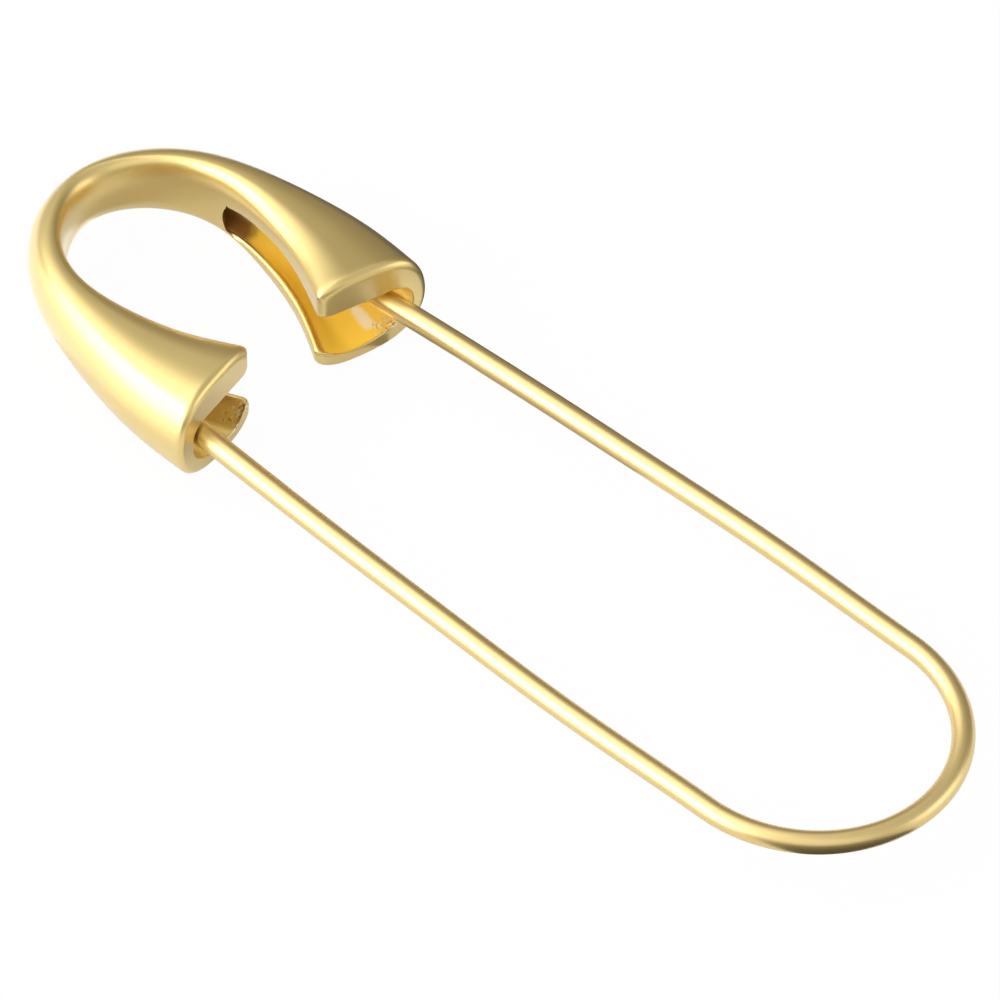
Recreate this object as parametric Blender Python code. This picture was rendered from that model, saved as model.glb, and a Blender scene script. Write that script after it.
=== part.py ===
"""Brooch pin: a hollow horseshoe clasp head and a sprung, U-shaped pin wire.

Metres, +Z up. The wire lies in a level plane with its bend towards +X, and the head's crown
is towards -X. One leg of the wire is seated in the near arm of the head (-Y). The free leg,
which carries the point, lies in the open channel of the far arm (+Y) and springs outwards.

The wire is one piece on the real pin. Here it is two halves that meet at the middle of the
bend, where its spring is stood in for by a hinge.
"""

import math

import bmesh
import bpy
import numpy as np
from mathutils import Matrix, Vector

# Wire, measured along its centreline
WIRE_DIAMETER = 0.0012
BEND_DEPTH = 0.00781
BEND_WIDTH = 0.01479
LEG_LENGTH = 0.03619
BELLY_SPREAD = 0.01501
MIDDLE_SPREAD = 0.01453
WAIST_SPREAD = 0.01384
FREE_TAIL = 0.0070
FIXED_TAIL = 0.0062
POINT_LENGTH = 0.0032
POINT_DIAMETER = 0.00020
BEND_SPLIT = 0.0002

# Clasp head, outside
HEAD_LENGTH = 0.01588
HEAD_WIDTH = 0.01709
CROWN_BAND = 0.00165
THROAT_WIDTH = 0.00937
MOUTH_GAP = 0.00481
MOUTH_SLANT = 0.00141
CROWN_HEIGHT = 0.00351
SHOULDER_HEIGHT = 0.00444
MOUTH_HEIGHT = 0.00600
MOUTH_REACH = 0.00022
MOUTH_FILLET = 0.00050
FLANGE_FILLET = 0.00022
HEAD_TURN = math.radians(-3.5)
HEAD_SHIFT = 0.00017

# Rounding of the throat side: from it to the crest, and from the crest down or up to it, and how
# far the lower flange's edge stands out of it at each mouth
CROWN_CREST = 0.00085
SHOULDER_CREST = 0.00095
MOUTH_CREST = 0.00190
CROWN_DROP = 0.00175
CROWN_RISE = 0.00115
MOUTH_DROP = 0.00065
SHOULDER_RISE = 0.00045
MOUTH_RISE = 0.00095
FAR_FLANGE_REACH = 0.00020
NEAR_FLANGE_REACH = 0.00008

# Clasp head, inside
CHANNEL_LENGTH = 0.01085
POCKET_LENGTH = 0.0050
END_BULGE = 0.00030
ROOF_LEVEL = 0.00070
ROOF_DIP = 0.00055
ROOF_FLARE = 0.00022
BROW_HEIGHT = 0.00035
END_BROW_DEPTH = 0.00014
MOUTH_BROW_DEPTH = 0.00050
FLOOR_WALL = 0.00055
FLOOR_FLARE = 0.00017
SIDE_WALL = 0.00085
POCKET_SIDE_WALL = 0.00115
LIP_LEVEL = 0.00145
LIP_DIP = 0.00015
LIP_FLARE = 0.00012
NEAR_LIP_RISE = 0.00012
LIP_RADIUS = 0.00022
SOCKET_CLEARANCE = 0.00005
WIRE_WALL_GAP = 0.00063
OVERRUN = 0.0010

# Plan of one arm from the crown to the mouth, as shares of the head's and the throat's sizes
OUTER_LENGTH_SHARES = (1.0, 0.958, 0.762, 0.445, 0.156)
OUTER_WIDTH_SHARES = (0.0, 0.363, 0.711, 0.913, 1.0, 0.994)
THROAT_LENGTH_SHARES = (1.0, 0.897, 0.692, 0.454, 0.220, 0.0)
THROAT_WIDTH_SHARES = (0.0, 0.680, 0.995, 0.970, 0.803)

# Fullness of the outer side: 2 is an ellipse, and a larger exponent is squarer
CROWN_FULLNESS = 2.05
TOP_FULLNESS = 4.3
UNDERSIDE_FULLNESS = 3.0
ROOF_FULLNESS = 12.0

# Rounding of the channel's blind end, as shares of the bulge and of the slot's height
END_BULGE_SHARES = (1.0, 0.64, 0.0)
END_HEIGHT_SHARES = (0.3, 0.7, 1.0)

# Share of the channel's length over which its roof and lip come down to the blind end
DIP_LENGTH_SHARE = 0.5

# Share of a lip's or a brow's rounding by which it starts outside the throat side
CROSSING_SHARE = 0.12

# Share of an arm or a leg, back from its end, over which the slope is taken that it runs on with
SLOPE_SHARE = 0.002

# Exponent of the point's taper, angle from which an edge is sharp, and merging distance as a
# share of the split in the bend
POINT_FULLNESS = 1.5
SHARP_ANGLE = math.radians(35)
MERGE_SHARE = 0.05

# Counts of facets
PATH_SAMPLES = 200
HEAD_STATIONS = 45
FILLET_STEPS = 4
CORNER_STEPS = 5
SIDE_STEPS = 9
BROW_STEPS = 3
CUTTER_STATIONS = 21
LEG_POINTS = 22
BEND_POINTS = 20
POINT_STEPS = 4
WIRE_BEVEL_RESOLUTION = 3

# Finish: colour, roughness and metallic value
SATIN_GOLD = ((0.62, 0.46, 0.17, 1.0), 0.38, 1.0)
WIRE_GOLD = ((0.66, 0.49, 0.19, 1.0), 0.28, 1.0)

WIRE_RADIUS = WIRE_DIAMETER / 2
MOUTH_SPREAD = HEAD_WIDTH * OUTER_WIDTH_SHARES[-1] - 2 * (SIDE_WALL + WIRE_RADIUS + WIRE_WALL_GAP)
MOUTH_X = -BEND_DEPTH - LEG_LENGTH
HINGE_X = -BEND_DEPTH * (1 - 2 / math.pi)


def clear_scene():
    """Remove every object, so that the script starts from nothing."""
    for item in list(bpy.data.objects):
        bpy.data.objects.remove(item, do_unlink=True)


def new_collection(name):
    """Add a collection to the scene."""
    collection = bpy.data.collections.new(name)
    bpy.context.scene.collection.children.link(collection)
    return collection


def make_material(name, finish):
    """Return a Principled material with a plain colour, roughness and metallic value."""
    colour, roughness, metallic = finish
    material = bpy.data.materials.new(name)
    material.use_nodes = True
    shader = material.node_tree.nodes["Principled BSDF"]
    shader.inputs["Base Color"].default_value = colour
    shader.inputs["Roughness"].default_value = roughness
    shader.inputs["Metallic"].default_value = metallic
    return material


def add_object(name, data, collection, parent=None):
    """Link a new object that holds the data, under its parent."""
    item = bpy.data.objects.new(name, data)
    collection.objects.link(item)
    item.parent = parent
    return item


def spline(values, places):
    """Natural cubic spline through values spread evenly over -1 to 1, read at the places."""
    values = np.array(values)
    count = len(values)
    step = 2 / (count - 1)
    matrix = np.eye(count)
    second = np.zeros(count)
    for index in range(1, count - 1):
        matrix[index, index - 1:index + 2] = (1, 4, 1)
        second[index] = values[index - 1] - 2 * values[index] + values[index + 1]
    bend = np.linalg.solve(matrix, 6 * second / step ** 2)
    places = np.clip(np.atleast_1d(places), -1, 1)
    cell = np.clip(((places + 1) / step).astype(int), 0, count - 2)
    after = (places + 1) / step - cell
    before = 1 - after
    line = before * values[cell] + after * values[cell + 1]
    curve = (before ** 3 - before) * bend[cell] + (after ** 3 - after) * bend[cell + 1]
    return line + curve * step ** 2 / 6


def even_spline(values, places):
    """Spline of values that are given from the middle out and are alike on both sides."""
    return spline([*values[:0:-1], *values], places)


def odd_spline(values, places):
    """Spline of values that are given from the middle out and change sign across it."""
    return spline([*(-value for value in values[:0:-1]), *values], places)


def scaled(shares, size):
    """Turn shares of a size into lengths."""
    return [share * size for share in shares]


def outer_plan(places):
    """Plan of the head's outer side, from the near mouth (-1) over the crown (0) to the far one."""
    lengths = [-value for value in scaled(OUTER_LENGTH_SHARES, HEAD_LENGTH)] + [MOUTH_SLANT]
    widths = scaled(OUTER_WIDTH_SHARES, HEAD_WIDTH / 2)
    return np.stack([even_spline(lengths, places), odd_spline(widths, places)], axis=1)


def throat_plan(places):
    """Plan of the head's inner side, which bounds the throat between its arms."""
    lengths = [-value for value in scaled(THROAT_LENGTH_SHARES, HEAD_LENGTH - CROWN_BAND)]
    widths = scaled(THROAT_WIDTH_SHARES, THROAT_WIDTH / 2) + [MOUTH_GAP / 2]
    return np.stack([even_spline(lengths, places), odd_spline(widths, places)], axis=1)


def middle_path_length():
    """Length of the line midway between the two sides, from the crown to one mouth."""
    places = np.linspace(0, 1, PATH_SAMPLES)
    middle = (outer_plan(places) + throat_plan(places)) / 2
    return float(np.linalg.norm(np.diff(middle, axis=0), axis=1).sum())


def half_heights(places):
    """Half the head's height at each place."""
    return even_spline([CROWN_HEIGHT, SHOULDER_HEIGHT, MOUTH_HEIGHT], places) / 2


def blend_to_mouth(crown_value, mouth_value, places):
    """Even blend from a value at the crown to its value at both mouths."""
    middle_value = (crown_value + mouth_value) / 2
    return even_spline([crown_value, middle_value, mouth_value], places)


def plan_line(place):
    """Inner point, direction across and width at a place; beyond a mouth the sides run straight on."""
    inner = throat_plan(place)[0]
    outer = outer_plan(place)[0]
    over = max(0.0, abs(place) - 1)
    if over:
        end = math.copysign(1, place)
        before = end * (1 - SLOPE_SHARE)
        inner += (inner - throat_plan(before)[0]) * over / SLOPE_SHARE
        outer += (outer - outer_plan(before)[0]) * over / SLOPE_SHARE
    width = float(np.linalg.norm(outer - inner))
    return inner, (outer - inner) / width, width


def quarter(steps):
    """Angles from 0 to a right angle."""
    return np.linspace(0, math.pi / 2, steps + 1)


def superellipse(share, fullness):
    """Height of a superellipse of width and height 1."""
    return max(0.0, 1 - share ** fullness) ** 0.5


def outside_half(base, width, half_height, crest, drop, fullness):
    """Upper half of an outside profile as (reach, height) points, from the throat side outwards."""
    points = []
    for angle in quarter(CORNER_STEPS):
        reach = base + (crest - base) * (1 - math.cos(angle))
        points.append((reach, half_height - drop * (1 - math.sin(angle))))
    for angle in quarter(SIDE_STEPS)[1:]:
        reach = crest + (width - crest) * math.sin(angle)
        points.append((reach, half_height * superellipse(math.sin(angle), fullness)))
    return points


def rounding(radius, setback):
    """How far a rounded edge has drawn back at a distance behind the end face."""
    return radius - math.sqrt(radius ** 2 - max(0.0, radius - setback) ** 2)


def place_profile(profile, place):
    """Stand a profile of (reach, height) points on the plan line of a place."""
    inner, across, _ = plan_line(place)
    points = []
    for reach, height in profile:
        x, y = inner + across * reach
        points.append(Vector((x, y, height)))
    return points


def skin_rings(rings, name):
    """Join rings of equal counts into one closed mesh with flat caps."""
    mesh = bpy.data.meshes.new(name)
    shell = bmesh.new()
    loops = [[shell.verts.new(point) for point in ring] for ring in rings]
    count = len(loops[0])
    for first, second in zip(loops, loops[1:]):
        for index in range(count):
            after = (index + 1) % count
            shell.faces.new((first[index], first[after], second[after], second[index]))
    shell.faces.new(loops[0])
    shell.faces.new(loops[-1])
    bmesh.ops.recalc_face_normals(shell, faces=shell.faces)
    shell.to_mesh(mesh)
    shell.free()
    mesh.shade_smooth()
    mesh.set_sharp_from_angle(angle=SHARP_ANGLE)
    return mesh


def crest_reach(place):
    """Distance from the throat side to the crest of the outside, at a place."""
    return even_spline([CROWN_CREST, SHOULDER_CREST, MOUTH_CREST], place)[0]


def flange_base(place):
    """Reach of the lower flange's edge, which stands out into the throat towards the mouths."""
    reach = FAR_FLANGE_REACH if place > 0 else NEAR_FLANGE_REACH
    return -reach * max(0.0, 2 * abs(place) - 1) ** 2


def head_stations():
    """Places along the head with the distance of each behind its mouth, close together at both."""
    path = middle_path_length()
    end = 1 + MOUTH_REACH / path
    fillet = MOUTH_FILLET / path
    places = list(np.linspace(fillet - end, end - fillet, HEAD_STATIONS))
    for angle in quarter(FILLET_STEPS)[1:]:
        place = end - fillet * (1 - math.sin(angle))
        places.append(place)
        places.insert(0, -place)
    return [(place, (end - abs(place)) * path) for place in places]


def head_ring(place, setback):
    """Outside ring of the head at a place, drawn in next to the mouths."""
    width = plan_line(place)[2]
    half_height = half_heights(place)[0]
    crest = crest_reach(place)
    top_drop = blend_to_mouth(CROWN_DROP, MOUTH_DROP, place)[0]
    rise = even_spline([CROWN_RISE, SHOULDER_RISE, MOUTH_RISE], place)[0]
    top_fullness = blend_to_mouth(CROWN_FULLNESS, TOP_FULLNESS, place)[0]
    under_fullness = blend_to_mouth(CROWN_FULLNESS, UNDERSIDE_FULLNESS, place)[0]
    over = rounding(MOUTH_FILLET, setback)
    under = rounding(FLANGE_FILLET, setback)
    side = (over + under) / 2
    top = outside_half(over, width - side, half_height - over, crest, top_drop, top_fullness)
    base = over + flange_base(place)
    bottom = outside_half(base, width - side, half_height - under, crest, rise, under_fullness)
    return place_profile(top + [(reach, -height) for reach, height in reversed(bottom[:-1])], place)


def channel_profile(place, length, side_wall, dip_depth):
    """Profile of a channel's cutter at a place, from over its brow round the inside to its lip."""
    path = middle_path_length()
    setback = max(0.0, (1 - abs(place)) * path + MOUTH_REACH)
    part = min(1.0, max(0.0, 1 - setback / length))
    dip = dip_depth * max(0.0, 1 - part / DIP_LENGTH_SHARE) ** 2
    width = plan_line(place)[2] - side_wall
    crest = crest_reach(place)
    flare = max(0.0, 1 - setback / MOUTH_CREST) ** 2
    roof = ROOF_LEVEL - ROOF_DIP * dip + ROOF_FLARE * flare
    lip = -LIP_LEVEL - LIP_DIP * dip - LIP_FLARE * max(0.0, 1 - setback / MOUTH_FILLET) ** 2
    if place < 0:
        lip += NEAR_LIP_RISE
    floor = FLOOR_WALL + FLOOR_FLARE * flare - half_heights(place)[0]
    level = (roof + lip) / 2
    brow = blend_to_mouth(END_BROW_DEPTH, MOUTH_BROW_DEPTH, part)[0]
    under_fullness = blend_to_mouth(CROWN_FULLNESS, UNDERSIDE_FULLNESS, place)[0]
    points = [(-OVERRUN, roof + BROW_HEIGHT)]
    for angle in quarter(BROW_STEPS)[::-1]:
        reach = brow * (1 - math.sin(angle) * (1 + CROSSING_SHARE))
        points.append((reach, roof + BROW_HEIGHT * (1 - math.cos(angle))))
    for angle in quarter(SIDE_STEPS)[1:]:
        reach = brow + (width - brow) * math.sin(angle)
        points.append((reach, level + (roof - level) * superellipse(math.sin(angle), ROOF_FULLNESS)))
    for angle in quarter(SIDE_STEPS)[-2::-1]:
        reach = crest + (width - crest) * math.sin(angle)
        points.append((reach, level + (floor - level) * superellipse(math.sin(angle), under_fullness)))
    slope = math.atan(2 * (lip - floor) / crest)
    base = flange_base(place) + rounding(MOUTH_FILLET, setback) - LIP_RADIUS * CROSSING_SHARE
    start = base + LIP_RADIUS * (1 + math.sin(slope))
    first = lip - LIP_RADIUS * (1 - math.cos(slope))
    for share in np.linspace(1, 0, CORNER_STEPS + 1)[1:-1]:
        reach = start + (crest - start) * float(share)
        points.append((reach, floor + (first - floor) * (1 - float(share)) ** 2))
    for turn in np.linspace(slope, -math.pi / 2, BROW_STEPS + 1):
        points.append((base + LIP_RADIUS * (1 + math.sin(turn)), lip - LIP_RADIUS * (1 - math.cos(turn))))
    points.append((-OVERRUN, lip - LIP_RADIUS))
    return points


def channel_rings(length, side, side_wall, dip_depth):
    """Rings of a channel from its bowed blind end to past the mouth, on the side of the sign given."""
    path = middle_path_length()
    end = 1 + MOUTH_REACH / path
    start = end - length / path
    first = channel_profile(side * start, length, side_wall, dip_depth)
    middle = (first[0][1] + first[-1][1]) / 2
    rings = []
    for bulge_share, height_share in zip(END_BULGE_SHARES, END_HEIGHT_SHARES):
        squeezed = [(reach, middle + (height - middle) * height_share) for reach, height in first]
        rings.append(place_profile(squeezed, side * (start - END_BULGE * bulge_share / path)))
    fillet = MOUTH_FILLET / path
    places = list(np.linspace(start, end - fillet, CUTTER_STATIONS)[1:])
    places += [end - fillet * (1 - math.sin(angle)) for angle in quarter(FILLET_STEPS)[1:]]
    for place in places:
        profile = channel_profile(side * place, length, side_wall, dip_depth)
        rings.append(place_profile(profile, side * place))
    along = (rings[-1][0] - rings[-2][0]).normalized()
    rings.append([point + along * OVERRUN for point in rings[-1]])
    return rings


def leg_spread(setback):
    """Half the spread of the legs at a distance back from where the bend starts."""
    spreads = (BEND_WIDTH, BELLY_SPREAD, MIDDLE_SPREAD, WAIST_SPREAD, MOUTH_SPREAD)
    share = setback / LEG_LENGTH
    if share <= 1:
        return float(even_spline(spreads, share)[0]) / 2
    slope = (MOUTH_SPREAD - even_spline(spreads, 1 - SLOPE_SHARE)[0]) / SLOPE_SHARE
    return float(MOUTH_SPREAD + slope * (share - 1)) / 2


def wire_half(side, tail):
    """Centreline of one half of the wire, from the middle of the bend to the leg's end."""
    line = []
    first = math.asin(BEND_SPLIT / BEND_WIDTH)
    for angle in np.linspace(first, math.pi / 2, BEND_POINTS):
        x = BEND_DEPTH * (math.cos(angle) - 1)
        line.append(Vector((x, side * BEND_WIDTH / 2 * math.sin(angle), 0)))
    for setback in np.linspace(0, LEG_LENGTH + tail, LEG_POINTS)[1:]:
        line.append(Vector((-BEND_DEPTH - setback, side * leg_spread(setback), 0)))
    return line


def sharpen(line):
    """Add the ground point to a centreline, and return it with the wire's radius at each point."""
    end = line[-1]
    direction = (end - line[-2]).normalized()
    start = end - direction * POINT_LENGTH
    kept = [point for point in line if (end - point).length > POINT_LENGTH + WIRE_RADIUS]
    radii = [WIRE_RADIUS] * len(kept)
    for share in np.linspace(0, 1, POINT_STEPS + 1):
        kept.append(start.lerp(end, float(share)))
        radii.append(WIRE_RADIUS + (POINT_DIAMETER / 2 - WIRE_RADIUS) * float(share) ** POINT_FULLNESS)
    return kept, radii


def tube_curve(name, line, radii, radius):
    """Curve data of a round tube with filled caps; the radii are actual ones at each point."""
    curve = bpy.data.curves.new(name, "CURVE")
    curve.dimensions = "3D"
    curve.bevel_depth = radius
    curve.bevel_resolution = WIRE_BEVEL_RESOLUTION
    curve.use_fill_caps = True
    run = curve.splines.new("POLY")
    run.points.add(len(line) - 1)
    for point, place, actual in zip(run.points, line, radii):
        point.co = (*place, 1.0)
        point.radius = actual / radius
    return curve


def curve_to_mesh(item, collection):
    """Replace a curve object by a closed mesh object in the same place."""
    name = item.name
    bpy.context.view_layer.update()
    evaluated = item.evaluated_get(bpy.context.evaluated_depsgraph_get())
    mesh = bpy.data.meshes.new_from_object(evaluated)
    shell = bmesh.new()
    shell.from_mesh(mesh)
    bmesh.ops.remove_doubles(shell, verts=shell.verts, dist=BEND_SPLIT * MERGE_SHARE)
    bmesh.ops.recalc_face_normals(shell, faces=shell.faces)
    shell.to_mesh(mesh)
    shell.free()
    matrix = item.matrix_world.copy()
    bpy.data.objects.remove(item, do_unlink=True)
    solid = add_object(name, mesh, collection)
    solid.matrix_world = matrix
    return solid


def hide_cutter(cutter):
    """Show a cutter as wire only and keep it out of renders."""
    cutter.display_type = "WIRE"
    cutter.hide_render = True


def combine(target, other, operation):
    """Join another object to one, or cut it out, with a live Boolean that shows the other as a wire."""
    hide_cutter(other)
    boolean = target.modifiers.new(other.name, "BOOLEAN")
    boolean.operation = operation
    boolean.solver = "EXACT"
    boolean.object = other


def build_pin(collection, parent):
    """Make the fixed half and the free half of the wire; the free half turns about the bend."""
    wire_gold = make_material("wire_gold", WIRE_GOLD)
    fixed_line = wire_half(-1, FIXED_TAIL)
    fixed_data = tube_curve("pin_fixed_leg", fixed_line, [WIRE_RADIUS] * len(fixed_line), WIRE_RADIUS)
    fixed = add_object("pin_fixed_leg", fixed_data, collection, parent)
    hinge = add_object("pin_hinge", None, collection, parent)
    hinge.location = (HINGE_X, 0, 0)
    free_line, radii = sharpen(wire_half(1, FREE_TAIL))
    about_hinge = [point - Vector((HINGE_X, 0, 0)) for point in free_line]
    free_data = tube_curve("pin_free_leg", about_hinge, radii, WIRE_RADIUS)
    free = add_object("pin_free_leg", free_data, collection, hinge)
    for half in (fixed, free):
        half.data.materials.append(wire_gold)


def add_cutter(name, rings, cutters, head):
    """Add a cutter that is skinned from rings in the head's own frame."""
    return add_object(name, skin_rings(rings, name), cutters, head)


def build_head(collection, cutters, parent):
    """Make the hollow head: a loft, less the far channel, the near pocket and the wire's socket."""
    rings = [head_ring(place, setback) for place, setback in head_stations()]
    head = add_object("clasp_head", skin_rings(rings, "clasp_head"), collection, parent)
    head.data.materials.append(make_material("satin_gold", SATIN_GOLD))
    head.location = (MOUTH_X, HEAD_SHIFT, 0)
    head.rotation_euler = (0, 0, HEAD_TURN)
    line = wire_half(-1, FIXED_TAIL + SOCKET_CLEARANCE)
    leg = [point for point in line if point.x < MOUTH_X + MOUTH_SLANT + OVERRUN]
    radius = WIRE_RADIUS + SOCKET_CLEARANCE
    curve = add_object("wire_socket", tube_curve("wire_socket", leg, [radius] * len(leg), radius), cutters)
    curve.parent = parent
    socket = curve_to_mesh(curve, cutters)
    socket.parent = parent
    channel = add_cutter("far_channel", channel_rings(CHANNEL_LENGTH, 1, SIDE_WALL, 1), cutters, head)
    pocket = add_cutter("near_pocket", channel_rings(POCKET_LENGTH, -1, POCKET_SIDE_WALL, 0), cutters, head)
    combine(pocket, socket, "UNION")
    combine(head, channel, "DIFFERENCE")
    combine(head, pocket, "DIFFERENCE")


def stand_on_origin(collection, frame):
    """Move the frame so that the middle of the footprint is at the origin and the lowest point at 0."""
    bpy.context.view_layer.update()
    graph = bpy.context.evaluated_depsgraph_get()
    points = []
    for item in collection.objects:
        if item.type == "EMPTY":
            continue
        evaluated = item.evaluated_get(graph)
        mesh = evaluated.to_mesh()
        points += [evaluated.matrix_world @ vertex.co for vertex in mesh.vertices]
        evaluated.to_mesh_clear()
    low = Vector([min(point[axis] for point in points) for axis in range(3)])
    high = Vector([max(point[axis] for point in points) for axis in range(3)])
    middle = (low + high) / 2
    frame.location = (-middle.x, -middle.y, -low.z)
    bpy.context.view_layer.update()


def main():
    """Build the whole brooch pin."""
    clear_scene()
    collection = new_collection("brooch_pin")
    cutters = new_collection("brooch_pin_cutters")
    frame = add_object("brooch_pin_frame", None, collection)
    build_pin(collection, frame)
    build_head(collection, cutters, frame)
    stand_on_origin(collection, frame)


main()
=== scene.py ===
"""Brooch pin: a cast clasp head with hollow fishtail arms, and its sprung wire.

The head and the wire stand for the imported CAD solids. Both are modelled here as rolled grids:
one grid is closed round a section and led along the piece, and each of its rows keeps its own
part of the section, such as the side, a lip or the roof of the channel. Sizes are in metres.
"""

import math
from collections import namedtuple
from types import SimpleNamespace

import bmesh
import bpy
import numpy as np
from bpy.props import FloatProperty, FloatVectorProperty, PointerProperty
from mathutils import Matrix, Vector


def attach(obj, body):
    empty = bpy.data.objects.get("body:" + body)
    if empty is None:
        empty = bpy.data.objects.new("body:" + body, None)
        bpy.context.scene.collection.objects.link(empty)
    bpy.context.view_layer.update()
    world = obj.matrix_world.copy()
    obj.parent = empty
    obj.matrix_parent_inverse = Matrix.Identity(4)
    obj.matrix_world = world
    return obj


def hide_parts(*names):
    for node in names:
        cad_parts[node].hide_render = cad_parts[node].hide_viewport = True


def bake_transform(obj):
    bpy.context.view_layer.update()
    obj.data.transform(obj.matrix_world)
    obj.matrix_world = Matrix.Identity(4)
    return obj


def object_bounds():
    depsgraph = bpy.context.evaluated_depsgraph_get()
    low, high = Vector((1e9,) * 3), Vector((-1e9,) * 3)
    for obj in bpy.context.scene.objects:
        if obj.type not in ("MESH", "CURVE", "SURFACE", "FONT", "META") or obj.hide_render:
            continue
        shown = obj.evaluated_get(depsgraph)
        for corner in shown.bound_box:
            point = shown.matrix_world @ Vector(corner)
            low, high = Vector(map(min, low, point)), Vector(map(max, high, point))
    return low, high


bl_info = {
    "name": "Brooch Pin",
    "version": (1, 0, 0),
    "blender": (4, 5, 0),
    "location": "View3D > Sidebar > Brooch Pin",
    "description": "Builds the looks of a gold brooch pin around its CAD frame",
    "category": "Add Mesh",
}

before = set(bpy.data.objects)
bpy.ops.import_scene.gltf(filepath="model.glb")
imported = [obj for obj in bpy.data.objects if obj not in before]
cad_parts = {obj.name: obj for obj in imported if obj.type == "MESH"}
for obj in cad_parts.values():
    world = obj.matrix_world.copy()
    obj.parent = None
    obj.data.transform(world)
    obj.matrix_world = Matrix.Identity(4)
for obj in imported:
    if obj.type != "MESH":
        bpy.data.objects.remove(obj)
CAD_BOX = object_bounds()

# Place of the wire's own frame in the row frame
WIRE_FRAME = Vector((0.029638, -0.000229, 0.0029926))

# Plan of one arm from the crown to the mouth, as shares of the head's and the throat's sizes
OUTER_LENGTH_SHARES = (1.0, 0.958, 0.762, 0.445, 0.156)
OUTER_WIDTH_SHARES = (0.0, 0.363, 0.711, 0.913, 1.0, 0.994)
THROAT_LENGTH_SHARES = (1.0, 0.897, 0.692, 0.454, 0.220, 0.0)
THROAT_WIDTH_SHARES = (0.0, 0.680, 0.995, 0.970, 0.803)

# Squareness of the section's curves: 2 is an ellipse, and more is squarer
CROWN_FULLNESS = 2.05
TOP_FULLNESS = 4.3
UNDERSIDE_FULLNESS = 3.0
ROOF_FULLNESS = 12.0

# Share of the channel, from its end, over which its roof comes down
DIP_SHARE = 0.5
# Widths of the mouth's crest over which the outer wall's foot turns rounder
FOOT_FLARE_CRESTS = 2

# Counts of the grids' rows and stations
PLAIN_STATIONS = 110
PATH_POINTS = 200
FILLET_STEPS = 6
ROOF_STEPS = 24
LIP_STEPS = 6
THROAT_STEPS = 3
EDGE_STEPS = 8
SIDE_STEPS = 26
WIRE_SIDES = 32
BEND_POINTS = 72
LEG_POINTS = 110
POINT_STEPS = 14
TIP_POINTS = 5
END_POINTS = 4

# What the rim's radius is divided by: from the channel's opening to the throat side's edges,
# from a hollow's start to the stations beside it, between points that merge, and to inset ends
MARGIN_DIVISOR = 4
START_DIVISOR = 12
HEAD_MERGE_DIVISOR = 60
CAP_INSET_DIVISOR = 4
# How many steps around a hollow's start stay free of other stations
START_CLEARANCE = 6
# Shares of an arm's and of a leg's length that the slope at their ends is taken over
HEAD_SLOPE_STEP = 0.002
LEG_SLOPE_STEP = 0.02
# Edges that turn by more than this stay sharp
SHARP_ANGLE = math.radians(40)

# What the wire's diameter is divided by between points that merge, and what its radius is for
# the rounding of its fixed end and for the gap before its ground point
WIRE_MERGE_DIVISOR = 400
END_ROUNDING_DIVISOR = 3
GRIND_GAP_DIVISOR = 4
# How the ground point tapers, and how nearly its tip closes
POINT_TAPER = 1.5
TIP_CLOSURE = 0.02
# How many times longer than wide the lines of the drawn wire are
LAY_STRETCH = 40

# Rows of the channel's floor, as the share from the lip to the back: the middle of a stretch and
# its half width
# The first stretch is the painted reflection of the light, the second the outer wall's rough foot
REFLECTION_ROWS = (0.43, 0.055)
FOOT_ROWS = (0.58, 0.18)
# How rough the casting is at the near arm's lower lip, and the share of the floor behind that
# lip that is as rough
TIP_ROUGH = 0.6
TIP_FLOOR = 0.15
# The strip of painted reflection fades at its ends over one of so many parts of the cast length and of
# its own length
STRIP_FADE_PARTS = 4

# Noise patterns: the length of a feature, the detail and the roughness
GRAIN = (0.00012, 3.0, 0.6)
CLOUD = (0.0035, 2.0, 0.5)
CAST = (0.00028, 3.0, 0.6)
SPECKS = (0.00016, 2.0, 0.5)
# Noise for the edge of the painted shade at the blind end
BLIND_SHADE_CLOUD = (0.0006, 2.0, 0.5)
WIRE_LINES = (0.00006, 2.0, 0.5)
WIRE_GRAIN = (0.00010, 2.0, 0.5)

# Values from which a state of the plating, the painted shade at the blind end and the painted
# reflection show, and from which they show in full
INSIDE_RANGE = (0.1, 0.9)
BLIND_SHADE_RANGE = (0.20, 0.50)
SPECK_RANGE = (0.0, 0.05)
SPECK_AREA = (0.1, 0.5)
SPECK_TONES = (0.42, 0.52)
REFLECTION_RANGE = (0.1, 0.8)
REFLECTION_AREA = (0.05, 0.3)
DULL_AREA = (0.35, 0.75)

# How far noise moves the edges of the painted shade at the blind end and of the painted reflection
BLIND_SHADE_SPREAD = 0.2
REFLECTION_SPREAD = 0.6
# Roughness at which specks cover half of the casting, how fast they spread with more of it, and
# how strongly specks, dullness and relief show
SPECK_LEVEL = 0.7
SPECK_GAIN = 0.12
SPECK_SHARE = 0.7
DULL_SHARE = 0.6
CAST_RELIEF = 12.0

# How far noise darkens the plating, and how far it changes its roughness
SATIN_SHADE = 0.97
CLOUD_ROUGHNESS = 0.06
GRAIN_ROUGHNESS = 0.08
WIRE_SHADE = 0.95
LINES_ROUGHNESS = 0.10
WIRE_GRAIN_ROUGHNESS = 0.05
LINES_RELIEF = 0.7
WIRE_GRAIN_RELIEF = 0.3

# Depth of the grain, and the clear gloss over the plating
SATIN_BUMP = {"Distance": 0.000004, "Strength": 0.5}
WIRE_BUMP = {"Distance": 0.000003, "Strength": 0.2}
SATIN_COAT = {"Coat Weight": 1.0, "Coat IOR": 1.7, "Coat Roughness": 0.30}
WIRE_COAT = {"Coat Weight": 0.5, "Coat Roughness": 0.25}

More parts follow.
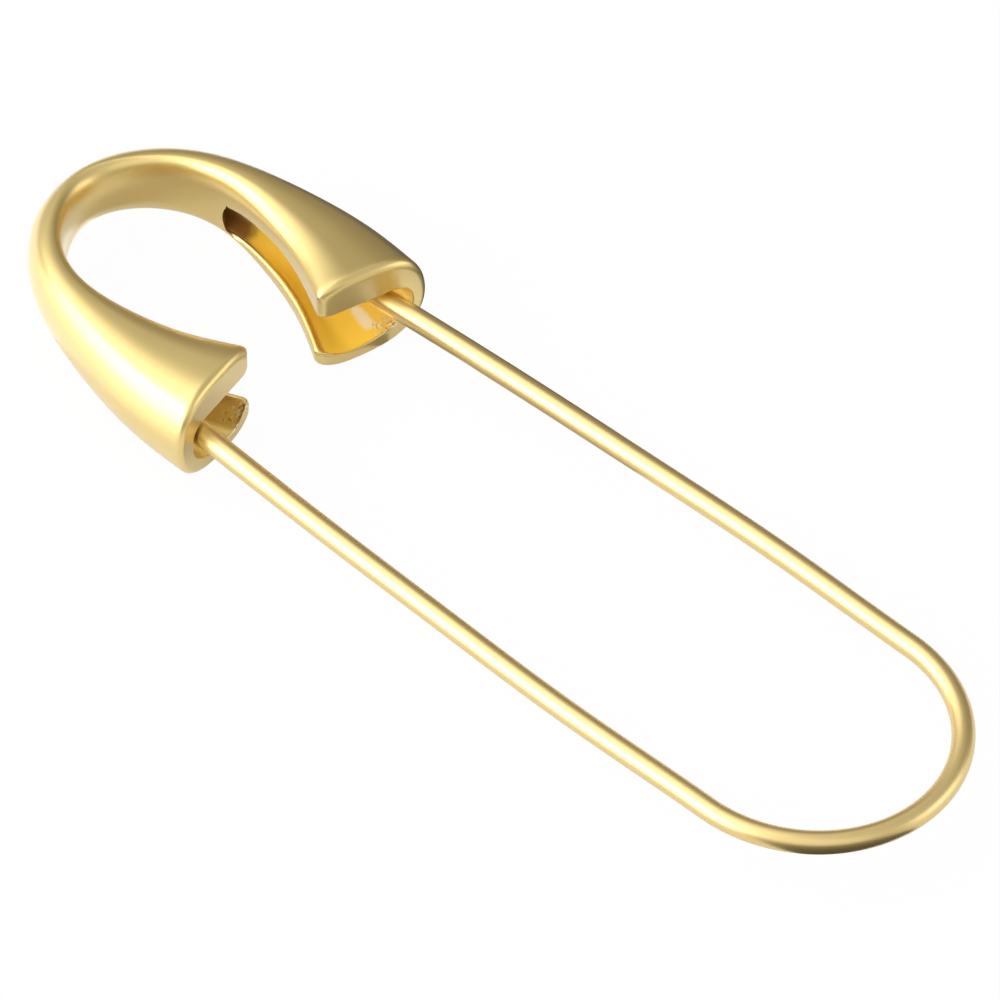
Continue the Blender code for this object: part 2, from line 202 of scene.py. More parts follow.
# Floor and world. Of the two glow shares, the first is for rays from the camera and the second
# for rays from a mirror or through glass.
WHITE = (1, 1, 1)
WARM = (1, 0.90, 0.75)
BLACK = (0, 0, 0)
FLOOR_HALF_SIDE = 3.0
FLOOR_COLOUR = (0.65, 0.65, 0.65)
FLOOR_ROUGHNESS = 0.9
FLOOR_GLOW_SHARES = (0.97, 0.3)
WORLD_STRENGTH = 0.9
WORLD_GLOW_SHARES = (0.1, -0.28)

# Soft lights around the pin, by their direction in degrees, size and radiance
LIGHT_DISTANCE = 0.4
Softbox = namedtuple("Softbox", "name azimuth elevation width height radiance")
SOFTBOXES = (
    Softbox("softbox_left", 222, 54, 0.66, 0.46, 1.1),
    Softbox("softbox_core", 236, 20, 0.48, 0.40, 3.0),
)

# Cards that only reflections meet. A line from the inner to the outer radius turns about an
# upright axis at a place along X, from an azimuth on, in degrees. Its two ends have the heights,
# and without them it lies just over the floor.
CARD_STEPS = 24
CARD_LIFT = 0.0002
Card = namedtuple("Card", "name place azimuth turn inner outer glow colour heights",
                  defaults=[(CARD_LIFT, CARD_LIFT)])
CARDS = (
    Card("flag_far", 0.0, 68, 78, 0.35, 0.25, 0.30, WARM, (0.0, 0.25)),
    Card("flag_front", 0.0, 290, 60, 0.35, 0.34, 0.15, WARM, (0.0, 0.07)),
    Card("fill_front", 0.0, 270, 80, 0.32, 0.10, 1.0, WHITE, (0.13, 0.33)),
    Card("bounce_right", 0.0, 14, 40, 0.35, 0.30, 1.7, WHITE, (0.0, 0.18)),
    # Cards lying on the floor paint its light and shade as reflections see it: the dim ones painted
    # shade and the pin's painted shadow, the bright ones painted pools of light
    Card("floor_mid_shade", -0.012, 15, 43, 0.004, 0.016, 0.45, WARM),
    Card("floor_lip_shade", -0.012, 50, 50, 0.0022, 0.0062, 0.28, WARM),
    Card("floor_right_light", -0.012, 61, 20, 0.0066, 0.0112, 1.0, WHITE),
    Card("floor_left_shade", -0.012, 268, 32, 0.0010, 0.0066, 0.38, WARM),
    Card("floor_crown_shadow", -0.026, 0, 360, 0.0002, 0.0026, 0.48, WARM),
    Card("floor_throat_shadow", -0.026, 300, 45, 0.0038, 0.0060, 0.08, WARM),
    Card("floor_front_shade", 0.026, 275, 80, 0.005, 0.30, 0.07, WARM),
    Card("floor_far_shade", -0.010, 60, 80, 0.009, 0.30, 0.10, WARM),
    Card("floor_pale_light", -0.012, 174, 76, 0.015, 0.35, 1.15, WHITE),
)

# The photograph's camera: the azimuth of the picture's right-hand side and the camera's elevation
# in degrees, its distance, its lens, and the place it aims at, moved right and up by an offset
CAMERA_AZIMUTH = 43.3
CAMERA_ELEVATION = 47.8
CAMERA_DISTANCE = 0.9
CAMERA_LENS = 648.0
CAMERA_AIM = Vector((-0.000362, -0.000229, 0.0029926))
CAMERA_OFFSET = (0.0008597, -0.0000645)


def length(name, description, default):
    """Return a property that holds a length in metres."""
    return FloatProperty(name=name, description=description, default=default, unit="LENGTH",
                         precision=5)


def colour(name, description, default):
    """Return a property that holds a linear colour."""
    return FloatVectorProperty(name=name, description=description, default=default, size=3,
                               subtype="COLOR", min=0, max=1)


def share(name, description, default):
    """Return a property that holds a number from 0 to 1."""
    return FloatProperty(name=name, description=description, default=default, min=0, max=1,
                         subtype="FACTOR")


class BroochHeadSizes(bpy.types.PropertyGroup):
    """Sizes of the clasp head."""
    head_length: length("Length", "Crown to mouth, outside", 0.01588)
    head_width: length("Width", "Across both arms, outside", 0.01709)
    crown_band: length("Crown band", "Width of the band at the crown", 0.00165)
    throat_width: length("Throat width", "Widest place between the arms", 0.00937)
    mouth_gap: length("Mouth gap", "Between the arms' inner tips", 0.00481)
    mouth_slant: length("Mouth slant", "How far a mouth's outer side is ahead", 0.00141)
    mouth_reach: length("Mouth reach", "How far the mouths stand beyond the arms' plan", 0.00022)
    crown_height: length("Crown height", "Height at the crown", 0.00351)
    shoulder_height: length("Shoulder height", "Height midway along an arm", 0.00444)
    mouth_height: length("Mouth height", "Height at the mouths", 0.00600)
    crown_crest: length("Crown crest", "From the throat side to the crest at the crown", 0.00085)
    shoulder_crest: length("Shoulder crest", "From the throat side to the crest midway", 0.00095)
    mouth_crest: length("Mouth crest", "From the throat side to the crest at the mouths", 0.00190)
    crown_drop: length("Crown drop", "From the top down to the throat side at the crown", 0.00175)
    crown_rise: length("Crown rise", "From the underside up to the throat side at the crown", 0.00115)
    mouth_drop: length("Mouth drop", "From the crest down to the throat side at the mouths", 0.00065)
    shoulder_rise: length("Shoulder rise", "From the underside up to the throat side midway", 0.00045)
    mouth_rise: length("Mouth rise", "From the underside up to the throat side at the mouths", 0.00095)
    mouth_fillet: length("Mouth fillet", "Fillet round the end faces, at the top", 0.00050)
    flange_fillet: length("Flange fillet", "Fillet round the end faces, at the underside", 0.00022)
    roof_level: length("Roof level", "Height of the channel's roof above the wire's middle", 0.00070)
    roof_dip: length("Roof dip", "How far the roof comes down at the channel's end", 0.00055)
    near_lip_rise: length("Near lip rise", "How much higher the near arm's lip is", 0.00012)
    roof_flare: length("Roof flare", "How much higher the roof is at the mouth", 0.00022)
    floor_wall: length("Floor wall", "Thickness under the channel", 0.00055)
    floor_flare: length("Floor flare", "How much thicker that is at the mouth", 0.00017)
    side_wall: length("Side wall", "Thickness outside the channel", 0.00085)
    pocket_side_wall: length("Pocket side wall", "Thickness outside the near arm's pocket", 0.00115)
    lip_level: length("Lip level", "Depth of the lower lip under the wire's middle", 0.00145)
    lip_dip: length("Lip dip", "How much lower the lip is at the channel's end", 0.00015)
    lip_flare: length("Lip flare", "How much lower the lip is at the mouth", 0.00020)
    lip_radius: length("Lip radius", "Rounding of the lower lip", 0.00022)
    brow_height: length("Brow height", "Height of the rounding over the channel", 0.00035)
    end_brow_depth: length("End brow depth", "Depth of that rounding at the channel's end", 0.00014)
    mouth_brow_depth: length("Mouth brow depth", "Depth of that rounding at the mouth", 0.00050)
    far_flange_reach: length("Far flange reach", "How far the far arm's lower flange stands out",
                             0.00020)
    near_flange_reach: length("Near flange reach", "The same on the near arm", 0.00008)
    rim_radius: length("Rim radius", "Rounding of the channel's rim in the end face", 0.00010)
    channel_length: length("Channel length", "Depth of the far arm's channel", 0.01085)
    pocket_length: length("Pocket length", "Depth of the near arm's pocket", 0.0050)
    end_bulge: length("End bulge", "How far the channel's end bows towards the crown", 0.00030)
    # Painted shade: how far the darkening at the channel's blind end reaches
    blind_shade_length: length("Blind length", "How far the dark end of the channel reaches", 0.0026)
    cast_length: length("Cast length", "How far rough casting reaches in from a mouth", 0.0022)
    # Painted reflection: how far its pale strip on the far channel's floor reaches in
    reflection_length: length("Worn length", "How far the bare strip on the far channel's floor reaches in",
                        0.0032)
    foot_fullness: FloatProperty(name="Foot fullness", default=1.7, min=1,
                                 description="Squareness of the outer wall's foot at the far mouth")
    pocket_polish: share("Pocket polish", "How much of the channel's plating the pocket has", 0.45)
    head_turn: FloatProperty(name="Turn", description="Turn of the head on the wire",
                             default=math.radians(-3.5), subtype="ANGLE")
    head_shift: length("Shift", "Sideways place of the head on the wire", 0.00017)


class BroochWireSizes(bpy.types.PropertyGroup):
    """Sizes of the pin wire."""
    diameter: length("Diameter", "Thickness of the wire", 0.0012)
    bend_depth: length("Bend depth", "From the legs' straight parts to the bend's middle", 0.00781)
    bend_width: length("Bend width", "Across the legs where the bend starts", 0.01479)
    leg_length: length("Leg length", "From the bend to the head's mouths", 0.03619)
    belly_spread: length("Belly spread", "Across the legs a quarter of the way", 0.01501)
    middle_spread: length("Middle spread", "Across the legs halfway", 0.01453)
    waist_spread: length("Waist spread", "Across the legs at three quarters", 0.01384)
    mouth_spread: length("Mouth spread", "Across the legs at the mouths", 0.01282)
    free_tail: length("Free tail", "How far the free leg goes into its channel", 0.0070)
    fixed_tail: length("Fixed tail", "How far the fixed leg goes into the near arm", 0.0062)
    point_length: length("Point length", "Length of the ground point", 0.0032)
    point_diameter: length("Point diameter", "Thickness of the point's tip", 0.00020)


class BroochFinish(bpy.types.PropertyGroup):
    """Colours and gloss of the plating, with its painted shade, painted reflection and painted glints.
    """
    satin: colour("Satin gold", "Plating on the outside of the head", (0.80, 0.60, 0.20))
    # Inside the hollows; its deep orange partly paints light bounced between the gold walls
    channel: colour("Channel gold", "Plating inside the channel and the pocket", (1.0, 0.70, 0.08))
    # Painted reflection on the channel's floor, and pale painted glints among the casting's specks
    glint: colour("Bare gold", "Thin plating on the channel's floor and on rough casting",
                 (0.98, 0.92, 0.66))
    # Painted shade at the channel's blind end, also the colour of dark casting pits
    blind_shade_and_pit: colour("Blind end gold", "Plating at the channel's blind end", (0.30, 0.14, 0.03))
    wire: colour("Wire gold", "Plating on the wire", (0.82, 0.62, 0.26))
    satin_roughness: share("Satin roughness", "Roughness of the outside of the head", 0.34)
    channel_roughness: share("Channel roughness", "Roughness inside the channel", 0.28)
    channel_metal: share("Channel metal", "How far the channel's plating shines as metal", 0.25)
    wire_roughness: share("Wire roughness", "Roughness of the wire", 0.35)


class BroochPin(bpy.types.PropertyGroup):
    """Everything about the brooch pin that a user would change."""
    head: PointerProperty(type=BroochHeadSizes)
    wire: PointerProperty(type=BroochWireSizes)
    finish: PointerProperty(type=BroochFinish)


class Shade:
    """An output socket of a shader node. Arithmetic on it adds Math nodes."""

    def __init__(self, socket):
        self.socket = socket

    def math(self, operation, first, second):
        """Add one Math node on two values."""
        return add_node(self.socket.id_data, "Math", {"operation": operation}, {0: first, 1: second})

    def __add__(self, other):
        return self.math("ADD", self, other)

    def __sub__(self, other):
        return self.math("SUBTRACT", self, other)

    def __rsub__(self, other):
        return self.math("SUBTRACT", other, self)

    def __mul__(self, other):
        return self.math("MULTIPLY", self, other)

    __radd__ = __add__
    __rmul__ = __mul__

    def larger(self, other):
        """The larger of two values."""
        return self.math("MAXIMUM", self, other)

    def between(self, low, high):
        """Rise from 0 to 1 as the value goes from low to high."""
        return add_node(
            self.socket.id_data, "MapRange", {"interpolation_type": "SMOOTHSTEP"},
            {"Value": self, "From Min": low, "From Max": high}, "Result")


def add_node(tree, kind, settings=None, values=None, output=0):
    """Add a node, set its settings and then its sockets, and return one output as a Shade."""
    node = tree.nodes.new("ShaderNode" + kind)
    for name, setting in (settings or {}).items():
        setattr(node, name, setting)
    for name, value in (values or {}).items():
        feed(node, name, value)
    return Shade(node.outputs[output])


def feed(node, name, value):
    """Give one socket of a node its value or its link."""
    if isinstance(value, Shade):
        node.id_data.links.new(value.socket, node.inputs[name])
    else:
        node.inputs[name].default_value = value


def new_material(name, sockets=None):
    """Add a material and return it with its tree and its shader, whose sockets may be given."""
    material = bpy.data.materials.new(name)
    material.use_nodes = True
    tree = material.node_tree
    shader = tree.nodes["Principled BSDF"]
    for socket, value in (sockets or {}).items():
        feed(shader, socket, value)
    return material, tree, shader


def mix_colour(tree, factor, first, second):
    """Mix two colours."""
    return add_node(tree, "Mix", {"data_type": "RGBA"}, {0: factor, 6: first, 7: second}, 2)


def noise(tree, vector, pattern):
    """Noise whose features are about as long across as the pattern says."""
    feature, detail, roughness = pattern
    return add_node(tree, "TexNoise", None,
                    {"Vector": vector, "Scale": 1 / feature, "Detail": detail, "Roughness": roughness})


def opaque(rgb, shade=1.0):
    """A colour with a full alpha, darkened by a shade."""
    return (*(value * shade for value in rgb), 1.0)


def spline(values, places):
    """Natural cubic spline through values spread evenly over -1 to 1, read at the places."""
    values = np.array(values)
    count = len(values)
    step = 2 / (count - 1)
    matrix = np.eye(count)
    second = np.zeros(count)
    for index in range(1, count - 1):
        matrix[index, index - 1:index + 2] = (1, 4, 1)
        second[index] = values[index - 1] - 2 * values[index] + values[index + 1]
    bend = np.linalg.solve(matrix, 6 * second / step ** 2)
    places = np.clip(np.atleast_1d(places), -1, 1)
    cell = np.clip(((places + 1) / step).astype(int), 0, count - 2)
    after = (places + 1) / step - cell
    before = 1 - after
    line = before * values[cell] + after * values[cell + 1]
    curve = (before ** 3 - before) * bend[cell] + (after ** 3 - after) * bend[cell + 1]
    return line + curve * step ** 2 / 6


def even_spline(values, places):
    """Spline of values that are given from the middle out and are alike on both sides."""
    return spline([*values[:0:-1], *values], places)


def odd_spline(values, places):
    """Spline of values that are given from the middle out and change sign across it."""
    return spline([*(-value for value in values[:0:-1]), *values], places)


def blend_to_mouth(crown_value, mouth_value, places):
    """Even blend from a value at the crown to its value at both mouths."""
    return even_spline([crown_value, (crown_value + mouth_value) / 2, mouth_value], places)


def rolled_grid(points):
    """Roll a grid into a tube through points given as stations by rows by three coordinates."""
    stations, rows = points.shape[:2]
    shell = bmesh.new()
    bmesh.ops.create_grid(shell, x_segments=stations - 1, y_segments=rows, size=1)
    for vertex in shell.verts:
        station = round((vertex.co.x + 1) / 2 * (stations - 1))
        row = round((vertex.co.y + 1) / 2 * rows) % rows
        vertex.co = points[station, row]
    return shell


def mark_grid(shell, layer, marks):
    """Write the marks, stations by rows, to a layer of a rolled grid that isn't closed yet."""
    stations, rows = marks.shape[:2]
    shell.verts.ensure_lookup_table()
    for vertex in shell.verts:
        vertex[layer] = marks[vertex.index % stations, vertex.index // stations % rows]


def close_shell(shell, merge):
    """Merge a rolled grid's seam, cap its ends and turn its faces outwards. Returns the caps."""
    bmesh.ops.remove_doubles(shell, verts=shell.verts, dist=merge)
    ends = [edge for edge in shell.edges if edge.is_boundary]
    caps = bmesh.ops.holes_fill(shell, edges=ends, sides=0)["faces"]
    bmesh.ops.recalc_face_normals(shell, faces=shell.faces)
    return caps


def piece_from(shell, name, material):
    """Turn a bmesh into an object with one material."""
    mesh = bpy.data.meshes.new(name)
    shell.to_mesh(mesh)
    shell.free()
    mesh.materials.append(material)
    mesh.shade_smooth()
    mesh.set_sharp_from_angle(angle=SHARP_ANGLE)
    piece = bpy.data.objects.new(name, mesh)
    bpy.context.scene.collection.objects.link(piece)
    return piece


def rounding(radius, setbacks):
    """How far a rounded edge has drawn back at each distance behind the end face."""
    return radius - np.sqrt(radius ** 2 - np.clip(radius - setbacks, 0, None) ** 2)


def fading(distance, reach):
    """1 at a distance of 0, falling to 0 at the reach."""
    return np.clip(1 - distance / reach, 0, 1)


def quarter_turn(count):
    """Angles spread over a quarter turn."""
    return np.linspace(0, math.pi / 2, count)


def bell(value, stretch):
    """1 in the middle of a stretch, given with its half width, and fading out on both sides."""
    middle, half_width = stretch
    return math.exp(-((value - middle) / half_width) ** 2)


class HeadShape:
    """The clasp head's surface, as a section of rows that is led along the horseshoe.

    A place is -1 at the near mouth, 0 at the crown and 1 at the far mouth. A setback is how far a
    place lies behind the end face of its arm. A row is a zone of the section, a share of the way
    through it, and 1 for the upper or -1 for the lower half.
    """

    def __init__(self, sizes):
        self.sizes = sizes
        places = np.linspace(0, 1, PATH_POINTS)
        middle = (self.outer_plan(places) + self.throat_plan(places)) / 2
        self.path = float(np.linalg.norm(np.diff(middle, axis=0), axis=1).sum())
        self.starts = {1: 1 - sizes.channel_length / self.path, -1: 1 - sizes.pocket_length / self.path}
        self.end = 1 + sizes.mouth_reach / self.path

    def outer_plan(self, places):
        """Plan of the outer side."""
        sizes = self.sizes
        lengths = [-value * sizes.head_length for value in OUTER_LENGTH_SHARES] + [sizes.mouth_slant]
        widths = [value * sizes.head_width / 2 for value in OUTER_WIDTH_SHARES]
        return np.stack([even_spline(lengths, places), odd_spline(widths, places)], axis=1)

    def throat_plan(self, places):
        """Plan of the inner side, which bounds the throat between the arms."""
        sizes = self.sizes
        inside = sizes.head_length - sizes.crown_band
        lengths = [-value * inside for value in THROAT_LENGTH_SHARES]
        widths = [value * sizes.throat_width / 2 for value in THROAT_WIDTH_SHARES]
        widths.append(sizes.mouth_gap / 2)
        return np.stack([even_spline(lengths, places), odd_spline(widths, places)], axis=1)

    def plan_lines(self, places):
        """Inner point, direction across and width at each place; past a mouth they run straight on."""
        inner = self.throat_plan(places)
        outer = self.outer_plan(places)
        ends = np.sign(places)
        before = ends * (1 - HEAD_SLOPE_STEP)
        slope_inner = (self.throat_plan(ends) - self.throat_plan(before)) / HEAD_SLOPE_STEP
        slope_outer = (self.outer_plan(ends) - self.outer_plan(before)) / HEAD_SLOPE_STEP
        over = np.clip(np.abs(places) - 1, 0, None)[:, None]
        inner = inner + slope_inner * over
        outer = outer + slope_outer * over
        width = np.linalg.norm(outer - inner, axis=1)
        return inner, (outer - inner) / width[:, None], width

    def stations(self):
        """Places along the head with whether each is hollow, close together at ends and rims.

        None leaves that to the place. A plain and a hollow station lie beside a hollow's start.
        """
        sizes = self.sizes
        end = self.end
        step = sizes.rim_radius / START_DIVISOR / self.path
        reaches = [radius / self.path
                   for radius in (sizes.mouth_fillet, sizes.flange_fillet, sizes.rim_radius)]
        plain = np.linspace(reaches[0] - end, end - reaches[0], PLAIN_STATIONS)
        places = [(place, None) for place in plain]
        for side in (-1, 1):
            for reach in reaches:
                for angle in quarter_turn(FILLET_STEPS + 1):
                    places.append((side * (end - reach * (1 - math.sin(angle))), None))
            start = self.starts[side]
            places = [entry for entry in places
                      if abs(entry[0] * side - start) > START_CLEARANCE * step or entry[0] * side < 0]
            places += [(side * (start - step), False), (side * (start + step), True)]
        places.sort()
        kept = [places[0]]
        for entry in places[1:]:
            if entry[0] - kept[-1][0] > step / 2:
                kept.append(entry)
        return kept

    def rows(self):
        """The section's rows, from the channel's back round the outside."""
        upper = [("roof", value) for value in np.linspace(1, 0, ROOF_STEPS + 1)[:-1]]
        upper += [("lip", value) for value in np.linspace(0, 1, LIP_STEPS + 1)]
        upper += [("throat", value) for value in np.linspace(0, 1, THROAT_STEPS + 1)[1:-1]]
        upper += [("edge", value) for value in np.linspace(0, 1, EDGE_STEPS + 1)]
        upper += [("side", value) for value in np.linspace(0, 1, SIDE_STEPS + 1)[1:]]
        lower = [(zone, value, -1) for zone, value in reversed(upper[1:-1])]
        return [(zone, value, 1) for zone, value in upper] + lower

    def outside_at(self, row, places, setbacks):
        """Sizes of the section's outside at each place, for the half that the row is in."""
        zone, value, sign = row
        sizes = self.sizes
        here = SimpleNamespace(sign=sign, setbacks=setbacks, far=places > 0, near=places < 0)
        here.inner, here.across, here.width = self.plan_lines(places)
        upward = math.cos(value * math.pi / 2) ** 2 * sign if zone == "side" else sign
        top_share = upward / 2 + 0.5
        fillet = sizes.flange_fillet + (sizes.mouth_fillet - sizes.flange_fillet) * top_share
        here.inset = rounding(fillet, setbacks)
        heights = [sizes.crown_height, sizes.shoulder_height, sizes.mouth_height]
        here.full_half = even_spline(heights, places) / 2
        here.half = here.full_half - here.inset
        here.crest = even_spline([sizes.crown_crest, sizes.shoulder_crest, sizes.mouth_crest], places)
        here.top_drop = blend_to_mouth(sizes.crown_drop, sizes.mouth_drop, places)
        here.rise = even_spline([sizes.crown_rise, sizes.shoulder_rise, sizes.mouth_rise], places)
        here.drop = here.top_drop if sign > 0 else here.rise
        here.fullness = blend_to_mouth(CROWN_FULLNESS, TOP_FULLNESS if sign > 0 else UNDERSIDE_FULLNESS,
                                       places)
        here.base = here.inset
        if sign < 0:
            reach = np.where(here.far, sizes.far_flange_reach, sizes.near_flange_reach)
            here.base = (rounding(sizes.mouth_fillet, setbacks)
                         - reach * np.clip(2 * np.abs(places) - 1, 0, 1) ** 2)
        return here

    def add_hollow(self, here, hollow):
        """Add the sizes of the hollow, and where there is one, to those of the outside."""
        sizes = self.sizes
        here.hollow = hollow
        setbacks = here.setbacks
        outset = rounding(sizes.rim_radius, setbacks)
        lengths = np.where(here.far, sizes.channel_length, sizes.pocket_length)
        part = fading(setbacks, lengths)
        dip = np.where(here.far, (1 - np.clip(part / DIP_SHARE, 0, 1)) ** 2, 0)
        flare = fading(setbacks, sizes.mouth_fillet) ** 2
        lift = fading(setbacks, sizes.mouth_crest) ** 2
        foot = fading(setbacks, FOOT_FLARE_CRESTS * sizes.mouth_crest)
        here.foot_fullness = (here.fullness
                              + (sizes.foot_fullness - here.fullness) * np.where(here.far, foot, 0))
        here.back = here.width - np.where(here.far, sizes.side_wall, sizes.pocket_side_wall) + outset
        here.lip = -sizes.lip_level - sizes.lip_dip * dip - sizes.lip_flare * flare - outset
        here.lip = here.lip + np.where(here.near, sizes.near_lip_rise, 0)
        here.roof = sizes.roof_level - sizes.roof_dip * dip + sizes.roof_flare * lift + outset
        here.level = (here.roof + here.lip) / 2
        here.edges = (here.lip - sizes.lip_radius, here.roof + sizes.brow_height)
        margin = sizes.rim_radius / MARGIN_DIVISOR
        here.limits = (np.maximum(here.edges[0], here.rise - here.half + margin),
                       np.minimum(here.edges[1], here.half - here.top_drop - margin))
        here.brow = blend_to_mouth(sizes.end_brow_depth, sizes.mouth_brow_depth, part)
        here.floor = sizes.floor_wall + sizes.floor_flare * lift - here.full_half - outset
        here.slope = np.arctan(2 * (here.lip - here.floor) / here.crest)

    def edge_row(self, here, value):
        """From the throat's side round to the crest."""
        angle = value * math.pi / 2
        reach = here.base + (here.crest - here.base) * (1 - math.cos(angle))
        return reach, here.sign * (here.half - here.drop * (1 - math.sin(angle)))

    def side_row(self, here, value):
        """From the crest down to the outer side's middle."""
        sine = math.sin(value * math.pi / 2)
        reach = here.crest + (here.width - here.inset - here.crest) * sine
        return reach, here.sign * here.half * np.sqrt(np.clip(1 - sine ** here.fullness, 0, 1))

    def throat_row(self, here, value):
        """The plain part of the throat's side, over or under the channel's opening."""
        edge = here.limits[here.sign > 0]
        return here.base, edge + (here.sign * (here.half - here.drop) - edge) * value

    def lip_row(self, here, value):
        """The rounded brow over the channel's opening, or the rounded lip under it."""
        sizes = self.sizes
        if here.sign > 0:
            angle = value * math.pi / 2
            reach = np.where(here.hollow, here.base + here.brow * (1 - math.sin(angle)), here.base)
            height = here.roof + sizes.brow_height * np.where(here.hollow, 1 - math.cos(angle), value)
            return reach, height
        turn = here.slope - (here.slope + math.pi / 2) * value
        reach = np.where(here.hollow, here.base + sizes.lip_radius * (1 + np.sin(turn)), here.base)
        rounded = here.lip - sizes.lip_radius * (1 - np.cos(turn))
        plain = here.lip - sizes.lip_radius * value
        return reach, np.where(here.hollow, np.maximum(rounded, here.limits[0]), plain)

    def roof_row(self, here, value):
        """The channel's roof and the upper half of its back, or its floor and the lower half."""
        sizes = self.sizes
        sine = math.sin(value * math.pi / 2)
        if here.sign > 0:
            start = here.base + here.brow
            reach = np.where(here.hollow, start + (here.back - start) * sine, here.base)
            round_part = math.sqrt(max(0.0, 1 - sine ** ROOF_FULLNESS))
            turned = here.level + (here.roof - here.level) * round_part
            plain = here.level + (here.roof - here.level) * (1 - value)
            return reach, np.where(here.hollow, turned, plain)
        start = here.base + sizes.lip_radius * (1 + np.sin(here.slope))
        first = here.lip - sizes.lip_radius * (1 - np.cos(here.slope))
        reach = start + (here.back - start) * sine
        before = np.clip((here.crest - reach) / (here.crest - start), 0, 1)
        over = np.clip((reach - here.crest) / (here.back - here.crest), 0, 1)
        bowl = here.floor + (first - here.floor) * before ** 2
        foot = (here.level + (here.floor - here.level)
                * np.sqrt(np.clip(1 - over ** here.foot_fullness, 0, 1)))
        height = np.where(here.hollow, np.where(reach < here.crest, bowl, foot),
                          here.level + (here.lip - here.level) * (1 - value))
        return np.where(here.hollow, reach, here.base), height

    def section(self, row, places, hollow, setbacks):
        """Plan point and height of one row at each place. Each zone has its own method."""
        zone, value, _ = row
        here = self.outside_at(row, places, setbacks)
        self.add_hollow(here, hollow)
        reach, height = getattr(self, zone + "_row")(here, value)
        if zone in ("lip", "roof"):
            part_up = (height - here.edges[0]) / (here.edges[1] - here.edges[0])
            flat = here.limits[0] + (here.limits[1] - here.limits[0]) * part_up
            height = np.where(hollow, height, flat)
        plan = here.inner + here.across * np.broadcast_to(reach, places.shape)[:, None]
        return plan, np.broadcast_to(height, places.shape)

    def plating(self, row, places, hollow, setbacks):
        """State of the plating and of its painted light on one row, as four shares.

        They say how far it is inside a hollow, in the painted shade at its blind end, of rough casting
        and under the painted reflection on the channel's floor.
        """
        zone, value, sign = row
        sizes = self.sizes
        far = places > 0
        floor = zone == "roof" and sign < 0
        inside = {"roof": 1.0, "lip": 0.0 if sign < 0 else 1 - value}.get(zone, 0.0)
        polish = (np.where(far, 1, sizes.pocket_polish)
                  * np.clip(setbacks / sizes.rim_radius / 2, 0, 1))
        past_start = (np.abs(places) - np.where(far, self.starts[1], self.starts[-1])) * self.path
        # Painted shade, strongest at the hollow's blind end
        blind = fading(past_start, sizes.blind_shade_length)
        foot = bell(value, FOOT_ROWS) if floor else 0.0
        tip = TIP_ROUGH if sign < 0 and (zone == "lip" or floor and value < TIP_FLOOR) else 0.0
        at_mouth = fading(setbacks, sizes.cast_length)
        # Rows of the painted reflection on the channel's floor
        reflection_patch = bell(value, REFLECTION_ROWS) if floor else 0.0
        fade_in = np.clip(setbacks / sizes.cast_length * STRIP_FADE_PARTS - 1, 0, 1)
        fade_out = np.clip((1 - setbacks / sizes.reflection_length) * STRIP_FADE_PARTS, 0, 1)
        return np.stack([np.where(hollow, inside * polish, 0),
                         np.where(hollow, blind, 1) * (inside > 0),
                         np.where(far, foot, tip) * at_mouth * hollow,
                         reflection_patch * (fade_in * fade_out * far * hollow)], axis=1)

    def points(self):
        """Points of the whole surface, stations by rows, and the state of the plating and of its
        painted shade and painted reflection at each.
        """
        sizes = self.sizes
        entries = self.stations()
        places = np.array([place for place, _ in entries])
        starts = np.where(places > 0, self.starts[1], self.starts[-1])
        hollow = np.array([abs(place) > start if flag is None else flag
                           for (place, flag), start in zip(entries, starts)])
        setbacks = (self.end - np.abs(places)) * self.path
        middle = (sizes.roof_level - sizes.roof_dip - sizes.lip_level - sizes.lip_dip) / 2
        half_slot = (sizes.roof_level - sizes.roof_dip + sizes.lip_level + sizes.lip_dip) / 2
        from_start = np.exp(-np.abs(np.abs(places) - starts) * self.path / (2 * sizes.end_bulge))
        surface, plating = [], []
        for row in self.rows():
            plan, height = self.section(row, places, hollow, setbacks)
            if row[0] in ("throat", "lip", "roof"):
                bow = np.clip(1 - ((height - middle) / half_slot) ** 2, 0, 1) * sizes.end_bulge
                shift = np.where(hollow, 0, bow * from_start) / self.path
                plan, height = self.section(row, places - np.sign(places) * shift, hollow, setbacks)
            surface.append(np.column_stack([plan, height]))
            plating.append(self.plating(row, places, hollow, setbacks))
        return np.stack(surface, axis=1), np.stack(plating, axis=1)


def head_matrix(sizes, wire):
    """Place of the head's own frame in the row frame."""
    mouth = Vector((-wire.bend_depth - wire.leg_length, sizes.head_shift, 0))
    return Matrix.Translation(WIRE_FRAME + mouth) @ Matrix.Rotation(sizes.head_turn, 4, "Z")


